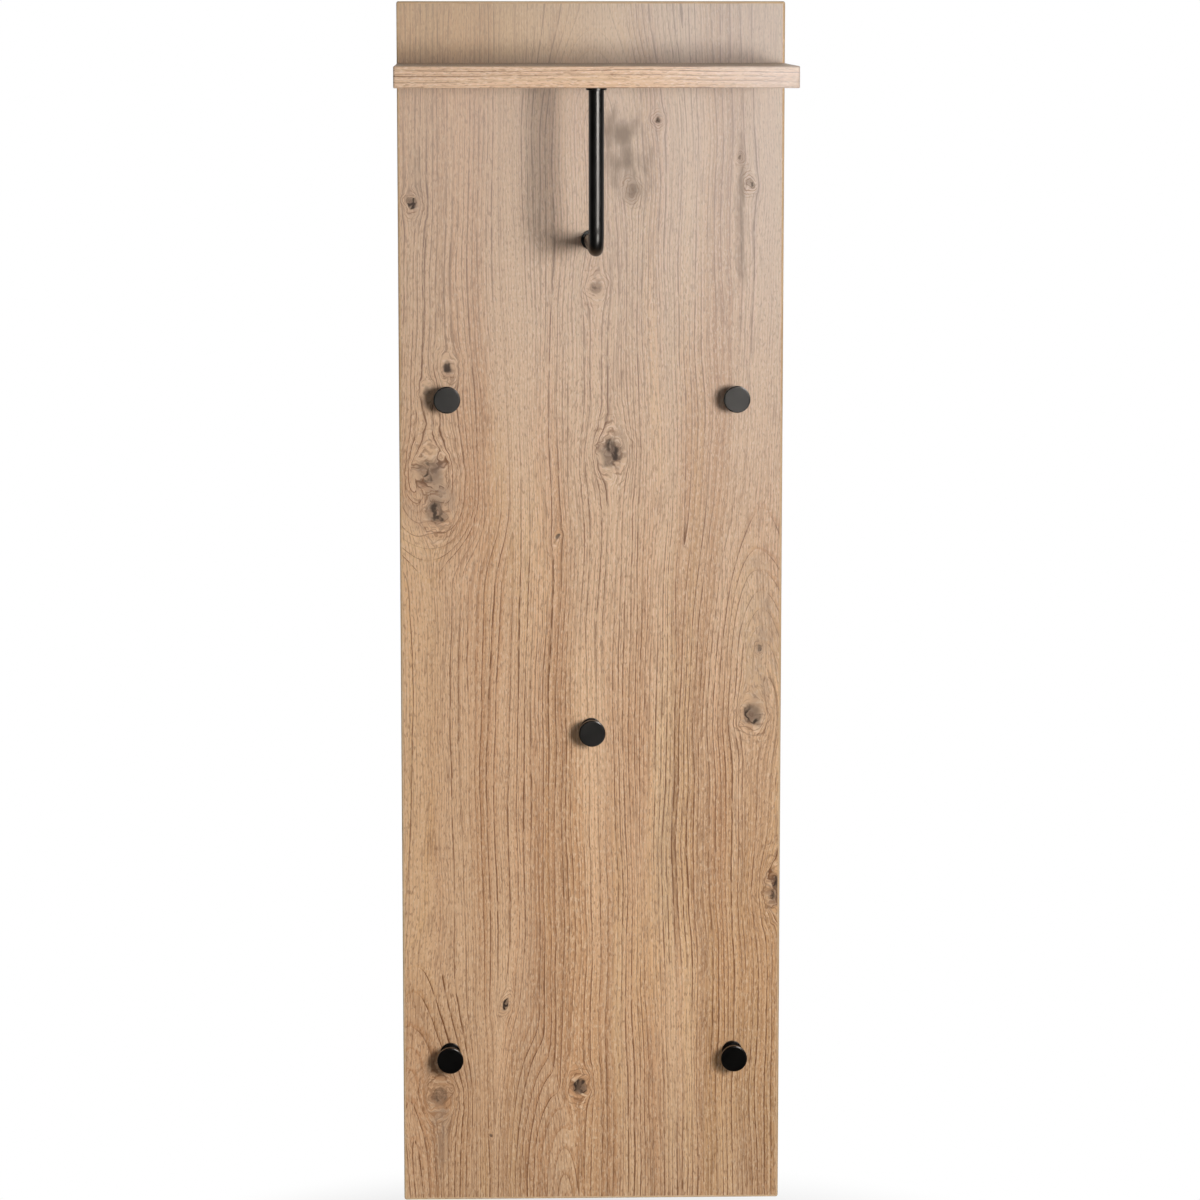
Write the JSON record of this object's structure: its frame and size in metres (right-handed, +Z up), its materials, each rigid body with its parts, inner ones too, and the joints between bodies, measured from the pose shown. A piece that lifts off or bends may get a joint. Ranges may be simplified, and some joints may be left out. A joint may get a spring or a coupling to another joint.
{
  "type": "wall hook rack",
  "caption": "Tall wall panel in oak decor with a shelf, a bent hanging rail below it and round-headed coat hooks.",
  "frame": {"origin": "centre of the panel's back face, which lies on the wall", "axes": "+Y into the wall, out of the panel's back face; +Z up; +X to the right of someone facing the rack, so the shelf, rail and hooks stand out towards -Y"},
  "size_m": [0.52, 0.28, 1.65],
  "materials": {
    "oak_decor": "matt oak decor on chipboard",
    "oak_edge": "matt edge band printed as the board",
    "beech_dowel": "plain turned beech",
    "black_coat": "black satin powder coat",
    "zinc_steel": "bright zinc plate",
    "decor_cap": "matt cover cap"
  },
  "bodies": {
    "root": {"hanger_plate_left": "zinc_steel", "hanger_plate_right": "zinc_steel", "hanger_screws": "zinc_steel", "hook_bottom_left_head": "black_coat", "hook_bottom_left_neck": "black_coat", "hook_bottom_left_rosette": "black_coat", "hook_bottom_right_head": "black_coat", "hook_bottom_right_neck": "black_coat", "hook_bottom_right_rosette": "black_coat", "hook_centre_head": "black_coat", "hook_centre_neck": "black_coat", "hook_centre_rosette": "black_coat", "hook_screws": "zinc_steel", "hook_top_left_head": "black_coat", "hook_top_left_neck": "black_coat", "hook_top_left_rosette": "black_coat", "hook_top_right_head": "black_coat", "hook_top_right_neck": "black_coat", "hook_top_right_rosette": "black_coat", "panel_board": "oak_decor", "panel_edge_bottom": "oak_edge", "panel_edge_left": "oak_edge", "panel_edge_right": "oak_edge", "panel_edge_top": "oak_edge", "rail_insert_shelf": "zinc_steel", "rail_insert_wall": "zinc_steel", "rail_rosette_shelf": "black_coat", "rail_rosette_wall": "black_coat", "rail_screw_cap": "decor_cap", "rail_screw_shelf": "zinc_steel", "rail_screw_wall": "zinc_steel", "rail_tube": "black_coat", "shelf_board": "oak_decor", "shelf_dowels": "beech_dowel", "shelf_edge_front": "oak_edge", "shelf_edge_left": "oak_edge", "shelf_edge_right": "oak_edge", "shelf_screws": "zinc_steel"}
  },
  "joints": []
}
